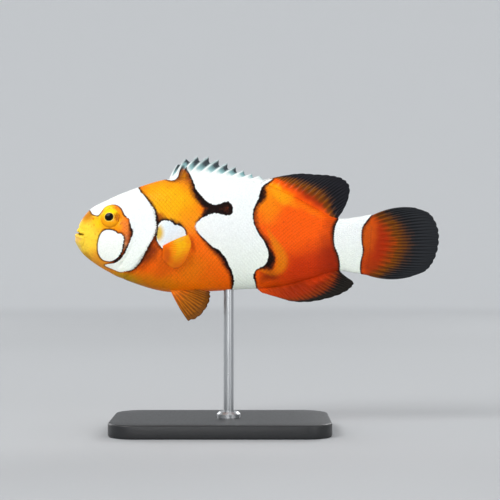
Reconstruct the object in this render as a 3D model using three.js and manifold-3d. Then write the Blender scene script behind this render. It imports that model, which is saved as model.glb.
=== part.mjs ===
// A clownfish with irregular white bars, life size, as a still museum model on a rod and base.
// Units are millimetres. +X runs from snout to tail, +Y to the fish's right side and +Z up.
// The origin is the middle of the model's footprint, on the surface that the base stands on.
import * as THREE from 'three';
import { mergeVertices } from 'three/addons/utils/BufferGeometryUtils.js';
import Module from 'manifold-3d';

const wasm = await Module();
wasm.setup();

// ---- driving dimensions ----

const TOTAL_LENGTH = 80; // snout to the end of the tail fin
const AXIS_HEIGHT = 42; // height of the mouth's level above the surface
const GAP = 0.3; // thin cut between neighbouring pieces
const WIDE = 40; // longer than the body is wide, for cutters that pass right through

const BODY = { around: 24, along: 46 };
const FULLNESS = 0.85; // under 1 makes the body's sections fuller than an ellipse
const EYE = { along: 7.95, up: 4.88, radius: 2.15, depth: 1.3, sunk: 0.5 };
const STALK_START = 57.6; // where the tail stalk begins, from the snout
const DORSAL_PARTING = 41.8; // where the spiny and soft parts of the back fin meet
const GILL_COVER_DEPTH = 2.6; // distance of a gill cover's inner face from the middle plane

const STAND = {
  rodAlong: 33.7, rodRadius: 1.1, rodBury: 3.2,
  baseAlong: 32, baseLength: 48, baseWidth: 29, baseThick: 3, baseCorner: 6, baseBevel: 0.4,
  collarRadius: 2.6, collarHeight: 1.3, socketDepth: 2,
};

// ---- frame ----

// A point of the side view, from its distance behind the snout and its height above the mouth.
const place = (along, up, side = 0) =>
  new THREE.Vector3(along - TOTAL_LENGTH / 2, side, up + AXIS_HEIGHT);

const curveThrough = (points) =>
  new THREE.CatmullRomCurve3(points.map(([along, up, half = 0]) => new THREE.Vector3(along, up, half)));

// ---- the body as one form: back line, belly line and half width at each station ----

const STATIONS = [
  { back: [0.0, 0.7], belly: [0.0, 0.7], half: 0 },
  { back: [0.4, 2.5], belly: [0.3, -1.0], half: 1.4 },
  { back: [1.3, 4.5], belly: [1.3, -2.8], half: 2.25 },
  { back: [3.3, 6.9], belly: [3.4, -4.7], half: 3.15 },
  { back: [7.2, 9.0], belly: [7.2, -7.1], half: 4.15 },
  { back: [13.2, 11.4], belly: [12.8, -9.5], half: 5.15 },
  { back: [20.0, 13.4], belly: [19.8, -11.4], half: 5.8 },
  { back: [28.5, 14.0], belly: [28.0, -11.4], half: 5.75 },
  { back: [36.5, 13.4], belly: [36.5, -10.9], half: 5.05 },
  { back: [44.0, 11.6], belly: [44.5, -10.4], half: 3.95 },
  { back: [51.0, 8.3], belly: [51.5, -8.7], half: 2.85 },
  { back: [57.4, 4.9], belly: [57.4, -6.9], half: 1.95 },
  { back: [62.0, 5.1], belly: [61.5, -7.3], half: 1.3 },
  { back: [65.6, 5.6], belly: [64.4, -7.7], half: 0.7 },
  { back: [67.4, 4.4], belly: [66.6, -6.8], half: 0.45 },
  { back: [68.0, -1.2], belly: [68.0, -1.2], half: 0 },
];
const backLine = curveThrough(STATIONS.map(({ back, half }) => [...back, half]));
const bellyLine = curveThrough(STATIONS.map(({ belly, half }) => [...belly, half]));

// A point of the body's skin: t runs from snout to tail, and angle from the back round the fish.
function skinPoint(t, angle, grow) {
  const back = backLine.getPoint(t);
  const belly = bellyLine.getPoint(t);
  const along = (back.x + belly.x) / 2 + ((back.x - belly.x) / 2) * Math.cos(angle);
  const halfHeight = (back.y - belly.y) / 2;
  const up = (back.y + belly.y) / 2 + (halfHeight + grow) * Math.cos(angle);
  const across = Math.sign(Math.sin(angle)) * Math.abs(Math.sin(angle)) ** FULLNESS;
  const side = -(Math.max(back.z, 0) + grow) * across;
  return place(along - grow * Math.cos(Math.PI * t), up, side);
}

// A sphere whose rings are pushed out onto the body's sections.
function bodySolid(grow = 0) {
  const ball = new THREE.SphereGeometry(1, BODY.around, BODY.along);
  const position = ball.getAttribute('position');
  const v = new THREE.Vector3();
  for (let i = 0; i < position.count; i += 1) {
    v.fromBufferAttribute(position, i);
    const t = Math.acos(THREE.MathUtils.clamp(v.y, -1, 1)) / Math.PI;
    const pole = t < 1e-4 || t > 1 - 1e-4;
    v.copy(skinPoint(t, pole ? Math.PI / 2 : Math.atan2(v.z, v.x), pole ? 0 : grow));
    position.setXYZ(i, v.x, v.y, v.z);
  }
  return solidOf(ball);
}

// Height of the back or belly line at a distance from the snout.
function heightOf(line, along) {
  const samples = line.getPoints(400);
  const after = samples.findIndex((p, i) => i > 0 && p.x >= along);
  const [a, b] = [samples[after - 1], samples[after]];
  return THREE.MathUtils.mapLinear(along, a.x, b.x, a.y, b.y);
}

// ---- solids and meshes ----

// A closed geometry as a solid. One that was mapped inside out has its triangles turned round.
function solidOf(geometry) {
  const bare = geometry.clone();
  bare.deleteAttribute('normal');
  bare.deleteAttribute('uv');
  const merged = mergeVertices(bare, 1e-4);
  const vertProperties = new Float32Array(merged.getAttribute('position').array);
  const triVerts = new Uint32Array(merged.index.array);
  const solid = new wasm.Manifold(new wasm.Mesh({ numProp: 3, vertProperties, triVerts }));
  if (solid.volume() > 0) return solid;
  for (let i = 0; i < triVerts.length; i += 3) {
    [triVerts[i + 1], triVerts[i + 2]] = [triVerts[i + 2], triVerts[i + 1]];
  }
  return new wasm.Manifold(new wasm.Mesh({ numProp: 3, vertProperties, triVerts }));
}

const finish = (color, roughness = 0.4, metalness = 0) =>
  new THREE.MeshStandardMaterial({ color, roughness, metalness, flatShading: true });

const FINISHES = {
  skin: finish('#f58a10'),
  fin: finish('#c8500a', 0.5),
  eye: finish('#14100c', 0.15),
  steel: finish('#b9bcc0', 0.3, 1),
  base: finish('#2b2d30', 0.5),
};

// Trimming can leave a crumb beside a piece; the mesh is made of the piece alone.
const largestOf = (solid) =>
  solid.decompose().reduce((most, part) => (part.volume() > most.volume() ? part : most));

function meshOf(name, solid, material) {
  const { numProp, numVert, vertProperties, triVerts } = largestOf(solid).getMesh();
  const corners = new Float32Array(numVert * 3);
  for (let i = 0; i < numVert; i += 1) {
    corners.set(vertProperties.subarray(i * numProp, i * numProp + 3), i * 3);
  }
  const geometry = new THREE.BufferGeometry();
  geometry.setAttribute('position', new THREE.BufferAttribute(corners, 3));
  geometry.setIndex(new THREE.BufferAttribute(triVerts, 1));
  geometry.computeVertexNormals();
  const mesh = new THREE.Mesh(geometry, material);
  mesh.name = name;
  return mesh;
}

// The same piece on the fish's other side.
function mirrored(mesh, name) {
  const other = mesh.clone();
  other.name = name;
  const flip = new THREE.Group();
  flip.scale.y = -1;
  flip.add(other);
  return flip;
}

// A cutter through the whole fish: a side-view outline, extruded across it from one depth to another.
function cutter(outline, from = -WIDE / 2, to = WIDE / 2) {
  const shape = new THREE.Shape(outline.map(({ x, y }) => new THREE.Vector2(x, y)));
  const slab = new THREE.ExtrudeGeometry(shape, { depth: to - from, bevelEnabled: false });
  slab.rotateX(Math.PI / 2); // outline upright, depth along -Y
  slab.translate(-TOTAL_LENGTH / 2, -from, AXIS_HEIGHT);
  return solidOf(slab);
}

// ---- head, jaw, gill covers, trunk and tail stalk ----

// Rear edge of the gill cover in side view, from nape to throat.
const gillEdge = curveThrough([
  [12.6, 14.0], [14.6, 10.9], [17.0, 7.4], [18.2, 3.6], [17.7, 0.6], [15.6, -3.0],
  [12.6, -6.9], [10.4, -11.5],
]).getPoints(28);
// Rear edge of the cheek, in front of the gill cover.
const cheekEdge = curveThrough([
  [13.0, 8.6], [13.6, 5.6], [13.7, 1.6], [12.4, -2.6], [9.6, -6.4],
]).getPoints(10);
// Cleft of the mouth and the joint of the jaw, down to the throat.
const jawEdge = [
  [-2, 2.2], [0.3, 1.75], [1.9, 1.1], [3.0, -0.9], [4.4, -3.2], [5.0, -9],
].map(([x, y]) => ({ x, y }));

// A line that runs down the side view, moved towards the tail by a distance.
const shifted = (line, by) => line.map(({ x, y }, i) => {
  const [above, below] = [line[Math.max(i - 1, 0)], line[Math.min(i + 1, line.length - 1)]];
  const length = Math.hypot(below.x - above.x, below.y - above.y);
  return { x: x + (by * (above.y - below.y)) / length, y: y + (by * (below.x - above.x)) / length };
});

// The front of the recess that a gill cover lies in, clear of the cover all round.
const roomEdge = shifted(cheekEdge, -GAP);
roomEdge[0].y += 1.5 * GAP;
roomEdge[roomEdge.length - 1].y -= 1.5 * GAP;

function bodyMeshes() {
  const body = bodySolid();
  const before = (line) => cutter([{ x: -5, y: line[0].y }, ...line, { x: -5, y: line[line.length - 1].y }]);
  const under = (line) => cutter([...line, { x: line[0].x, y: line[line.length - 1].y }]);
  const stalkSide = (from) => cutter([
    { x: from, y: -20 }, { x: TOTAL_LENGTH, y: -20 }, { x: TOTAL_LENGTH, y: 20 }, { x: from, y: 20 },
  ]);

  const front = body.intersect(before(gillEdge));
  const jaw = front.intersect(under(shifted(jawEdge, -GAP)));
  const between = (cheek, gill, top, bottom) =>
    [...cheek, ...gill.filter(({ y }) => y < top && y > bottom).reverse()];
  const coverSpace = cutter(between(roomEdge, shifted(gillEdge, 1), 9.6, -8), GILL_COVER_DEPTH - GAP);
  const cover = front.intersect(cutter(between(cheekEdge, gillEdge, 8.6, -7.2), GILL_COVER_DEPTH));
  const skull = front.subtract(under(jawEdge))
    .subtract(coverSpace)
    .subtract(coverSpace.mirror([0, 1, 0]))
    .subtract(eyeSolid(GAP))
    .subtract(eyeSolid(GAP).mirror([0, 1, 0]));
  const trunk = body.subtract(before(shifted(gillEdge, GAP)))
    .subtract(stalkSide(STALK_START - GAP))
    .subtract(rodSolid(STAND.rodRadius + GAP, STAND.rodBury + GAP));
  const stalk = body.intersect(stalkSide(STALK_START));

  const leftCover = meshOf('gill_cover_left', cover, FINISHES.skin);
  return [
    meshOf('head', skull, FINISHES.skin),
    meshOf('lower_jaw', jaw, FINISHES.skin),
    leftCover,
    mirrored(leftCover, 'gill_cover_right'),
    meshOf('trunk', trunk, FINISHES.skin),
    meshOf('tail_stalk', stalk, FINISHES.skin),
  ];
}

// ---- eyes ----

// The point of the left flank that shows at a place of the side view, and the way the skin faces there.
function flankAt(alongAt, upAt) {
  let [low, high, t, angle] = [0, 1, 0, 0];
  for (let i = 0; i < 40; i += 1) {
    t = (low + high) / 2;
    const [back, belly] = [backLine.getPoint(t), bellyLine.getPoint(t)];
    const level = THREE.MathUtils.clamp((2 * upAt - back.y - belly.y) / (back.y - belly.y), -1, 1);
    angle = Math.acos(level);
    if ((back.x + belly.x + (back.x - belly.x) * level) / 2 < alongAt) low = t;
    else high = t;
  }
  const step = 1e-3;
  const lengthwise = skinPoint(t + step, angle, 0).sub(skinPoint(t - step, angle, 0));
  const round = skinPoint(t, angle + step, 0).sub(skinPoint(t, angle - step, 0));
  return { point: skinPoint(t, angle, 0), facing: round.cross(lengthwise).normalize() };
}

// The left eye, on the -Y side, as a flattened ball that looks the way the head faces.
function eyeSolid(grow = 0) {
  const { point, facing } = flankAt(EYE.along, EYE.up);
  const ball = new THREE.SphereGeometry(1, 16, 10);
  ball.scale(EYE.radius + grow, EYE.depth + grow, EYE.radius + grow);
  ball.applyQuaternion(new THREE.Quaternion().setFromUnitVectors(new THREE.Vector3(0, -1, 0), facing));
  ball.translate(...point.addScaledVector(facing, -EYE.sunk));
  return solidOf(ball);
}

function eyeMeshes() {
  const left = meshOf('eye_left', eyeSolid(), FINISHES.eye);
  return [left, mirrored(left, 'eye_right')];
}

// ---- fins ----

// A blade between a base line and a tip line, given as functions of u, from the first ray to the last.
// Rays stand proud of the membrane, and the membrane is notched back between their tips.
function finSolid({ rays, rows = 3, base, tip, bend, notch, thickBase, thickTip }) {
  const blade = new THREE.BoxGeometry(1, 1, 1, (rays - 1) * 2, rows, 1);
  const position = blade.getAttribute('position');
  for (let i = 0; i < position.count; i += 1) {
    const u = position.getX(i) + 0.5;
    const v = position.getY(i) + 0.5;
    const onRay = Math.abs(Math.cos(Math.PI * (rays - 1) * u)); // 1 on a ray, 0 between two
    const reach = v * (1 - notch * (1 - onRay));
    const [from, to] = [base(u), tip(u)];
    const knee = bend(from, to, u);
    const line = new THREE.QuadraticBezierCurve(
      new THREE.Vector2(from.x, from.y), new THREE.Vector2(knee.x, knee.y), new THREE.Vector2(to.x, to.y));
    const at = line.getPoint(reach);
    const half = (THREE.MathUtils.lerp(thickBase, thickTip, v) / 2) * (0.65 + 0.35 * onRay);
    position.setXYZ(i, at.x, Math.sign(position.getZ(i)) * Math.max(half, 0.25), at.y);
  }
  return solidOf(blade);
}

// A spine or ray that rises before it leans back.
const leaning = (share, rise) => (from, to) => ({
  x: THREE.MathUtils.lerp(from.x, to.x, share),
  y: THREE.MathUtils.lerp(from.y, to.y, rise),
});

// A ray that bows away from the fin's middle, more towards the outer rays.
const bowed = (by) => (from, to, u) => ({
  x: (from.x + to.x) / 2,
  y: (from.y + to.y) / 2 + by * (1 - 2 * u),
});

const along = (curve) => (u) => curve.getPoint(u);

// A base line that follows the back or belly, sunk into the body.
const onBody = (line, start, end, sink) => (u) => {
  const x = THREE.MathUtils.lerp(start, end, u);
  return { x, y: heightOf(line, x) + sink };
};

const FINS = {
  dorsal_fin_spiny: {
    rays: 11, rows: 2, notch: 0.2, thickBase: 1.1, thickTip: 0.5, bend: leaning(0.35, 0.62),
    base: along(curveThrough([
      [20.6, 11.9], [21.5, 12.2], [22.7, 12.4], [24.4, 12.6], [26.5, 12.7], [28.9, 12.6],
      [31.1, 12.4], [33.2, 12.1], [35.3, 11.8], [37.0, 11.5], [39.6, 11.1],
    ])),
    tip: along(curveThrough([
      [22.4, 16.5], [24.2, 17.8], [26.8, 18.3], [29.2, 18.3], [31.5, 17.7], [33.4, 16.9],
      [35.2, 16.1], [37.0, 15.3], [38.8, 14.6], [40.5, 14.1], [43.2, 13.6],
    ])),
  },
  dorsal_fin_soft: {
    rays: 16, rows: 3, notch: 0.03, thickBase: 1.2, thickTip: 0.5, bend: leaning(0.45, 0.6),
    base: onBody(backLine, 39.9, 57.2, -1.3),
    tip: along(curveThrough([
      [42.6, 13.5], [45.6, 14.15], [49.4, 14.65], [52.8, 14.45], [56.2, 14.2], [58.8, 13.5],
      [60.3, 11.9], [60.0, 8.9], [58.7, 6.1],
    ])),
  },
  anal_fin: {
    rays: 14, rows: 3, notch: 0.03, thickBase: 1.2, thickTip: 0.5, bend: leaning(0.45, 0.6),
    base: onBody(bellyLine, 38.6, 57.2, 1.3),
    tip: along(curveThrough([
      [41.0, -11.6], [44.4, -12.6], [47.6, -13.5], [51.2, -13.65], [55.0, -13.0], [58.4, -11.9],
      [60.6, -10.5], [61.2, -9.4], [59.6, -8.1],
    ])),
  },
  tail_fin: {
    rays: 15, rows: 4, notch: 0.03, thickBase: 1.2, thickTip: 0.5, bend: bowed(2),
    base: along(curveThrough([[63.9, 4.7], [62.6, -1.1], [62.5, -7.1]])),
    tip: along(curveThrough([
      [74.8, 7.1], [78.0, 5.8], [79.7, 2.8], [79.93, -0.6], [79.0, -4.2], [77.2, -6.7], [73.8, -8.1],
    ])),
  },
};

function medianFinMeshes() {
  const space = bodySolid(GAP);
  const front = solidOf(new THREE.BoxGeometry(WIDE, WIDE, WIDE))
    .translate([...place(DORSAL_PARTING - WIDE / 2, 0)]);
  return Object.entries(FINS).map(([name, fin]) => {
    let blade = finSolid(fin).translate([...place(0, 0)]).subtract(space);
    if (name === 'dorsal_fin_spiny') blade = blade.intersect(front.translate([-GAP, 0, 0]));
    if (name === 'dorsal_fin_soft') blade = blade.subtract(front);
    return meshOf(name, blade, FINISHES.fin);
  });
}

// Paired fins are flat fans in their own frame, hinged at the root and swung out from the body.
const PAIRED = {
  pectoral_fin: {
    root: [19.6, -2.6], side: 5.5, swing: 50, roll: 8,
    fan: {
      rays: 12, notch: 0.03, thickBase: 0.9, thickTip: 0.5, bend: bowed(0.4),
      base: along(curveThrough([[-0.2, 1.2], [0, 0], [0.2, -1.3]])),
      tip: along(curveThrough([[7.7, 3.9], [9.3, 2.2], [9.5, 0.3], [8.6, -1.7], [6.6, -3.3], [4.0, -3.9]])),
    },
  },
  pelvic_fin: {
    root: [20.8, -10.7], side: 1.5, swing: 4, roll: 16,
    fan: {
      rays: 6, notch: 0.05, thickBase: 0.9, thickTip: 0.5, bend: bowed(0.9),
      base: along(curveThrough([[1.9, 0.1], [0.9, 0.1], [0, 0]])),
      tip: along(curveThrough([[8.8, -0.8], [8.8, -2.4], [8.1, -4.4], [6.4, -6.4], [4.3, -7.2]])),
    },
  },
};

function pairedFinMeshes() {
  const space = bodySolid(GAP);
  return Object.entries(PAIRED).flatMap(([name, { root, side, swing, roll, fan }]) => {
    const [tilt, turn] = [THREE.MathUtils.degToRad(-roll), THREE.MathUtils.degToRad(-swing)];
    const pose = new THREE.Matrix4()
      .makeTranslation(place(...root, -side))
      .multiply(new THREE.Matrix4().makeRotationFromEuler(new THREE.Euler(tilt, 0, turn, 'ZYX')));
    const blade = finSolid(fan).transform(pose.elements);
    const left = meshOf(`${name}_left`, blade.subtract(space), FINISHES.fin);
    return [left, mirrored(left, `${name}_right`)];
  });
}

// ---- stand ----

const beltHeight = () => AXIS_HEIGHT + heightOf(bellyLine, STAND.rodAlong);

// The rod, from its socket in the base up into the belly.
function rodSolid(radius, bury) {
  const bottom = STAND.baseThick - STAND.socketDepth + GAP;
  const top = beltHeight() + bury;
  const rod = new THREE.CylinderGeometry(radius, radius, top - bottom, 16);
  rod.rotateX(Math.PI / 2);
  rod.translate(STAND.rodAlong - TOTAL_LENGTH / 2, 0, (top + bottom) / 2);
  return solidOf(rod);
}

function baseSolid() {
  const { baseLength, baseWidth, baseThick, baseCorner, baseBevel } = STAND;
  const [x, y, r] = [baseLength / 2 - baseBevel, baseWidth / 2 - baseBevel, baseCorner];
  const outline = new THREE.Shape()
    .moveTo(-x + r, -y)
    .lineTo(x - r, -y)
    .absarc(x - r, -y + r, r, -Math.PI / 2, 0)
    .absarc(x - r, y - r, r, 0, Math.PI / 2)
    .absarc(-x + r, y - r, r, Math.PI / 2, Math.PI)
    .absarc(-x + r, -y + r, r, Math.PI, 1.5 * Math.PI);
  const plate = new THREE.ExtrudeGeometry(outline, {
    depth: baseThick - 2 * baseBevel,
    bevelThickness: baseBevel,
    bevelSize: baseBevel,
    bevelSegments: 1,
    curveSegments: 5,
  });
  plate.translate(STAND.baseAlong - TOTAL_LENGTH / 2, 0, baseBevel);
  const socketRadius = STAND.rodRadius + GAP;
  const socket = new THREE.CylinderGeometry(socketRadius, socketRadius, 2 * STAND.socketDepth, 16);
  socket.rotateX(Math.PI / 2);
  socket.translate(STAND.rodAlong - TOTAL_LENGTH / 2, 0, baseThick);
  return solidOf(plate).subtract(solidOf(socket));
}

function collarMesh() {
  const { rodRadius, collarRadius, collarHeight } = STAND;
  const inner = rodRadius + GAP;
  const profile = [[inner, 0], [collarRadius, 0], [collarRadius, 0.8], [collarRadius - 0.5, collarHeight],
    [inner, collarHeight], [inner, 0]].map(([r, z]) => new THREE.Vector2(r, z));
  const ring = new THREE.LatheGeometry(profile, 20);
  ring.rotateX(Math.PI / 2);
  const collar = meshOf('stand_collar', solidOf(ring), FINISHES.steel);
  collar.position.set(STAND.rodAlong - TOTAL_LENGTH / 2, 0, STAND.baseThick + GAP);
  return collar;
}

function standMeshes() {
  return [
    meshOf('stand_base', baseSolid(), FINISHES.base),
    meshOf('stand_rod', rodSolid(STAND.rodRadius, STAND.rodBury), FINISHES.steel),
    collarMesh(),
  ];
}

// ---- the model ----

const clownfish = new THREE.Group();
clownfish.add(...bodyMeshes(), ...eyeMeshes(), ...medianFinMeshes(), ...pairedFinMeshes(), ...standMeshes());

export default clownfish;
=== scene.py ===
import math
import bmesh
import bpy
import numpy as np
from mathutils import Euler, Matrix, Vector


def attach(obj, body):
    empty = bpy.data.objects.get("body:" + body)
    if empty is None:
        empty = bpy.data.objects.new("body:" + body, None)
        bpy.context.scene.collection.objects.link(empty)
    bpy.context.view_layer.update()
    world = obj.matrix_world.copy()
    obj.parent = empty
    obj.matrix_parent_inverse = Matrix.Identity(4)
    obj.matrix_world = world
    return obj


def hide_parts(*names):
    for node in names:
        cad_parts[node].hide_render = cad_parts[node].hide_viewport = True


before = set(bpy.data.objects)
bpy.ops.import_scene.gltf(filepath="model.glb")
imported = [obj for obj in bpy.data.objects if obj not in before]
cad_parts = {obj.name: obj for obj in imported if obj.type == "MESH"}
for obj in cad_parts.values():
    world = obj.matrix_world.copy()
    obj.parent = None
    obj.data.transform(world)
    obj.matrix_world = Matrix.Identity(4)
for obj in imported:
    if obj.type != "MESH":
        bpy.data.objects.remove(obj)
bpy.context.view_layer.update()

# Shapes are worked out in millimetres in the fish's side view, from the snout's tip and the mouth's level.
# +X runs to the tail, -Y is the fish's left side, +Z is up.
snoutX, mouthZ, mm = -40.0, 42.0, 0.001
rng = np.random.default_rng(11)


def smooth(low, high, value):
    t = np.clip((np.asarray(value, float) - low) / (high - low), 0.0, 1.0)
    return t * t * (3.0 - 2.0 * t)


def bell(value, width):
    return np.exp(-(np.asarray(value, float) / width) ** 2)


def folds(distance, rows):
    # ridges (+) and grooves (-) beside a line or round a place: distance from it, width, height
    return sum(height * bell(distance - off, width) for off, width, height in rows)


def swellings(x, z, rows):
    # soft round swellings: along, up, reach, amount
    return sum(amount * bell(np.hypot(x - along, z - up), reach) for along, up, reach, amount in rows)


def curveAt(points, t):
    # a smooth curve through the points; knots spaced by the root of their distance keep it from looping
    p = np.asarray(points, float)
    p = np.vstack([2 * p[0] - p[1], p, 2 * p[-1] - p[-2]])
    last = len(p) - 4
    x = np.clip(np.asarray(t, float), 0, 1) * (last + 1)
    i = np.minimum(x.astype(int), last)
    w = (x - i)[..., None]
    a, b, c, d = p[i], p[i + 1], p[i + 2], p[i + 3]

    def knot(m, n):
        return np.maximum(np.sum((m - n) ** 2, -1), 1e-8)[..., None] ** 0.25

    ab, bc, cd = knot(a, b), knot(b, c), knot(c, d)
    m = ((b - a) / ab - (c - a) / (ab + bc) + (c - b) / bc) * bc
    n = ((c - b) / bc - (d - b) / (bc + cd) + (d - c) / cd) * bc
    return b + m * w + (3 * (c - b) - 2 * m - n) * w ** 2 + (2 * (b - c) + m + n) * w ** 3


def outline(points, closed=True, fine=6):
    p = list(points)
    if closed:
        t = 2 + np.linspace(0, len(p), len(p) * fine, endpoint=False)
        p = p[-2:] + p + p[:3]
        return curveAt(p, t / (len(p) - 1))
    return curveAt(p, np.linspace(0, 1, (len(p) - 1) * fine + 1))


def distanceTo(x, z, line, closed=True, reach=3.5, beyond=9.0):
    # signed distance in millimetres: + inside a closed line, and + to the left of an open line's direction
    low, high = line.min(0) - reach, line.max(0) + reach
    out = np.full(len(x), -reach if closed else beyond)
    close = (x > low[0]) & (x < high[0]) & (z > low[1]) & (z < high[1])
    if close.any():
        out[close] = measured(x[close], z[close], line, closed)
    return out


def measured(x, z, line, closed, batch=20000):
    # the nearest of the line's steps, for a batch of points at a time to save memory
    a = line if closed else line[:-1]
    b = np.roll(line, -1, 0) if closed else line[1:]
    e = b - a
    size = np.maximum((e * e).sum(-1), 1e-12)
    out = np.empty(len(x))
    for s in range(0, len(x), batch):
        q = np.stack([x[s:s + batch], z[s:s + batch]], 1)[:, None] - a
        off = q - np.clip((q * e).sum(-1) / size, 0, 1)[..., None] * e
        near = (off ** 2).sum(-1)
        k = near.argmin(1)
        row = np.arange(len(k))
        if closed:
            crosses = (a[:, 1] > a[:, 1] + q[..., 1]) != (b[:, 1] > a[:, 1] + q[..., 1])
            rise = np.where(np.abs(e[:, 1]) < 1e-12, 1e-12, e[:, 1])
            inside = (crosses & (q[..., 0] < e[:, 0] * q[..., 1] / rise)).sum(1) % 2 == 1
            side = np.where(inside, 1.0, -1.0)
        else:
            o = off[row, k]
            side = np.where(e[k, 0] * o[:, 1] - e[k, 1] * o[:, 0] > 0, 1.0, -1.0)
        out[s:s + batch] = np.sqrt(near[row, k]) * side
    return out


# The body's form, the same as the solids' form: sections through a back line, a belly line and a half width.
body = {
    "stations": [  # back (along, up), belly (along, up), half width
        (0.0, 0.7, 0.0, 0.7, 0.0), (0.4, 2.5, 0.3, -1.0, 1.4), (1.3, 4.5, 1.3, -2.8, 2.25),
        (3.3, 6.9, 3.4, -4.7, 3.15), (7.2, 9.0, 7.2, -7.1, 4.15), (13.2, 11.4, 12.8, -9.5, 5.15),
        (20.0, 13.4, 19.8, -11.4, 5.8), (28.5, 14.0, 28.0, -11.4, 5.75), (36.5, 13.4, 36.5, -10.9, 5.05),
        (44.0, 11.6, 44.5, -10.4, 3.95), (51.0, 8.3, 51.5, -8.7, 2.85), (57.4, 4.9, 57.4, -6.9, 1.95),
        (62.0, 5.1, 61.5, -7.3, 1.3), (65.6, 5.6, 64.4, -7.7, 0.7), (67.4, 4.4, 66.6, -6.8, 0.45),
        (68.0, -1.2, 68.0, -1.2, 0.0)],
    "fullness": 0.85,  # under 1 makes the section fuller than an ellipse
    "coatDepth": 0.12,  # the skin lies this far inside the form, and the scales fill it
    "rings": 380, "around": 200,
    "headRings": 0.6, "headEnd": 0.43,  # share of the rings on the bare head, and where it ends from 0 to 1
}
head = {
    "lines": {
        "gill": [
            (12.6, 14.0), (14.6, 10.9), (17.0, 7.4), (18.2, 3.6), (17.7, 0.6), (15.6, -3.0), (12.6, -6.9),
            (9.5, -9.3)],
        "cheek": [(12.9, 8.6), (13.5, 5.6), (13.6, 1.6), (12.3, -2.6), (9.6, -6.4)],
        "mouth": [(-0.6, 1.86), (0.4, 1.6), (1.1, 1.27), (1.85, 1.0)],
        "jaw": [(1.9, 1.3), (2.35, 0.5), (2.3, -0.6), (1.9, -1.4)],
    },
    "gillLift": 0.42,  # the gill cover's free edge stands out this far
    # ridges and grooves: distance from the line or place, width, height
    "gillFold": [(0.3, 0.28, -0.34)],
    "cheekFold": [(0, 0.3, -0.2)],
    "lips": [(0.55, 0.3, 0.08), (-0.55, 0.32, 0.16), (0, 0.18, -0.6), (1.25, 0.3, -0.16),
             (-1.2, 0.25, -0.06)],
    "chin": [(-1.5, 1.1, 0.26)],
    "jawFold": [(0, 0.16, -0.12)],
    "nostrilFold": [(0.36, 0.13, 0.08), (0, 0.17, -0.4)],
    "lids": [(0.2, 0.24, 0.09), (0.75, 0.2, -0.04)],
    "nostril": (4.3, 4.6), "eye": (7.95, 4.88), "eyeRadius": 2.12, "socketDepth": 1.5,
    "reliefEnd": 21,
}
sections = np.array(body["stations"])
headLines = {name: outline(points, closed=False) for name, points in head["lines"].items()}


def form(t, angle):
    # t runs from snout to tail, and angle from the back (0) down the left side to the belly (pi)
    s = curveAt(sections, t)
    c, sn = np.cos(angle), np.sin(angle)
    x = (s[..., 0] + s[..., 2]) / 2 + (s[..., 0] - s[..., 2]) / 2 * c
    z = (s[..., 1] + s[..., 3]) / 2 + (s[..., 1] - s[..., 3]) / 2 * c
    y = -np.maximum(s[..., 4], 0) * np.sign(sn) * np.abs(sn) ** body["fullness"]
    return np.stack([x, y, z], -1)


def facing(t, angle, step=1e-3, turn=3e-3):
    # the way the form faces, from a small step along it and a small turn round it
    t = np.clip(t, 2 * step, 1 - 2 * step)
    around = form(t, angle + turn) - form(t, angle - turn)
    n = np.cross(around, form(t + step, angle) - form(t - step, angle))
    return n / np.maximum(np.linalg.norm(n, axis=-1, keepdims=True), 1e-12)


def sidePoint(x, z):
    # the point of the left side that is seen at (x, z), and the way it faces
    t, a = np.meshgrid(np.linspace(0.004, 0.996, 700), np.linspace(0.02, np.pi - 0.02, 300), indexing="ij")
    p = form(t, a)
    k = np.unravel_index(np.argmin((p[..., 0] - x) ** 2 + (p[..., 2] - z) ** 2), t.shape)
    return p[k], facing(t[k], a[k])


eyeAt, eyeFacing = sidePoint(*head["eye"])


def relief(p):
    # how far the skin stands out from the form, for the head's folds, lips, nostrils and eye sockets
    out = np.zeros(p.size // 3)
    onHead = p[..., 0].ravel() < head["reliefEnd"]
    if onHead.any():
        out[onHead] = headRelief(p.reshape(-1, 3)[onHead])
    return out.reshape(p.shape[:-1])


def headRelief(p):
    x, z = p[:, 0], p[:, 2]
    gill, cheek, mouth, jaw = (distanceTo(x, z, line, closed=False) for line in headLines.values())
    nostril = np.hypot(x - head["nostril"][0], z - head["nostril"][1])
    off = np.stack([x, -np.abs(p[:, 1]), z], 1) - eyeAt
    rim = np.linalg.norm(off - (off @ eyeFacing)[:, None] * eyeFacing, axis=1) - head["eyeRadius"]
    # each fold fades out towards its ends
    onGill = (1 - smooth(7.5, 10.5, z)) * smooth(-9.0, -6.2, z)
    onCheek = (1 - smooth(6.5, 8.8, z)) * smooth(-6.6, -5.4, z)
    onMouth = 1 - smooth(1.6, 2.8, x)
    flap = head["gillLift"] * smooth(-3.0, -0.3, gill) * (1 - smooth(-0.12, 0.08, gill))
    out = onGill * (flap + folds(gill, head["gillFold"])) + onCheek * folds(cheek, head["cheekFold"])
    out += onMouth * (folds(mouth, head["lips"]) + folds(mouth, head["chin"]) * (mouth < 0))
    out += folds(jaw, head["jawFold"]) + folds(nostril, head["nostrilFold"]) + folds(rim, head["lids"])
    return out - head["socketDepth"] * (1 - smooth(-0.42, -0.02, rim))


def skinPoint(t, angle, lift=0.0):
    p = form(t, angle)
    return p + facing(t, angle) * (relief(p) - body["coatDepth"] + lift)[..., None]


# The marks are drawn on the fish's middle plane, as they look from 0.3 m away; the flank is nearer.
watched = {"along": 38.4, "up": -2.2, "distance": 305.6}


def onPlane(p):
    grow = watched["distance"] / (watched["distance"] - np.abs(p[:, 1]))
    x, z = p[:, 0] - watched["along"], p[:, 2] - watched["up"]
    return watched["along"] + x * grow, watched["up"] + z * grow


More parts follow.
